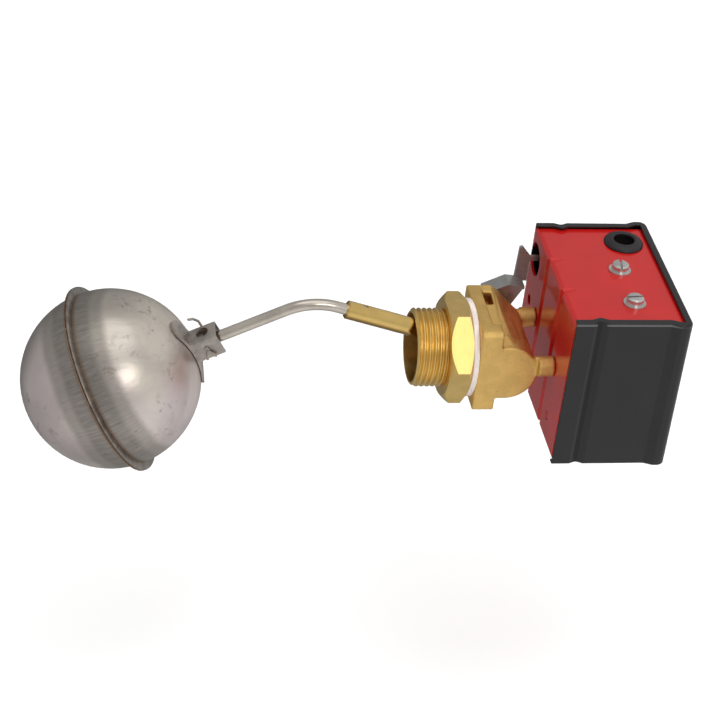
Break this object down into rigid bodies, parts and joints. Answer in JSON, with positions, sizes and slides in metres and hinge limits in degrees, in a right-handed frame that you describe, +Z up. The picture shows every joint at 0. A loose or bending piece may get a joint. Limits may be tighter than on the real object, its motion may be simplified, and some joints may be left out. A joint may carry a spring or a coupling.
{
  "type": "float level switch",
  "caption": "Side-mounted float level switch: a steel ball on a bent arm turns a shaft in a brass tank fitting, whose lever trips a switch inside a sheet metal box.",
  "frame": {"origin": "centre of the hexagon's shoulder, on the axis of the tank thread, where the thread ends", "axes": "+X along the tank thread from the float towards the switch box, +Z up as the switch is fitted to a tank wall, +Y to the side where the trip lever stands"},
  "size_m": [0.2707, 0.0904, 0.0997],
  "materials": {
    "cast_brass": "sand-cast body with machined faces, satin",
    "turned_brass": "turned and milled, bright satin",
    "stainless": "brushed stainless with heat tint beside the seam",
    "rod_steel": "drawn stainless rod, satin",
    "zinc_steel": "zinc plated sheet and screws",
    "red_paint": "gloss red paint on pressed sheet steel",
    "black_paint": "satin black paint on folded sheet steel",
    "rubber": "moulded rubber",
    "ptfe": "white sealing ring",
    "case_plastic": "moulded phenolic case",
    "button_plastic": "moulded button",
    "terminal_brass": "stamped brass"
  },
  "bodies": {
    "housing": {"base_plate": "red_paint", "body_screw_1": "zinc_steel", "body_screw_2": "zinc_steel", "cable_grommet": "rubber", "cover": "black_paint", "cover_post": "zinc_steel", "cover_screw": "zinc_steel", "earth_screw": "zinc_steel", "leaf_pin": "rod_steel", "nipple_gasket": "ptfe", "pivot_body": "cast_brass", "shaft_bush": "turned_brass", "shaft_seal_1": "rubber", "shaft_seal_2": "rubber", "switch_case": "case_plastic", "switch_nut_1": "zinc_steel", "switch_nut_2": "zinc_steel", "switch_screw_1": "zinc_steel", "switch_screw_2": "zinc_steel", "switch_washer_1": "zinc_steel", "switch_washer_2": "zinc_steel", "terminal_1": "terminal_brass", "terminal_2": "terminal_brass", "terminal_3": "terminal_brass", "terminal_screw_1": "zinc_steel", "terminal_screw_2": "zinc_steel", "terminal_screw_3": "zinc_steel", "thread_nipple": "turned_brass"},
    "float_arm": {"pivot_shaft": "rod_steel", "arm_hub": "turned_brass", "arm_sleeve": "turned_brass", "sleeve_pin": "rod_steel", "float_rod": "rod_steel", "float_shell_near": "stainless", "float_shell_far": "stainless", "float_seam": "stainless", "float_bracket": "stainless", "float_split_pin": "stainless", "trip_lever": "zinc_steel", "lever_washer": "zinc_steel", "lever_nut": "zinc_steel"},
    "switch_leaf_body": {"switch_leaf": "zinc_steel"},
    "switch_button": {"switch_plunger": "button_plastic"}
  },
  "joints": [
    {"name": "arm_swing", "type": "hinge", "parent": "housing", "child": "float_arm", "pos_m": [0.0237, 0, 0], "axis": [0, 1, 0], "range_deg": [-29, 0]},
    {"name": "leaf_swing", "type": "hinge", "parent": "housing", "child": "switch_leaf_body", "pos_m": [0.0544, -0.0314, 0.0263], "axis": [0, 0, 1], "range_deg": [0, 2.4]},
    {"name": "button_travel", "type": "slide", "parent": "housing", "child": "switch_button", "axis": [-1, 0, 0], "range_m": [0, 0.0009]}
  ],
  "couplings": [
    {"joint": "leaf_swing", "follows": "arm_swing", "ratio": -0.080448},
    {"joint": "button_travel", "follows": "arm_swing", "m_per_rad": -0.001778}
  ]
}
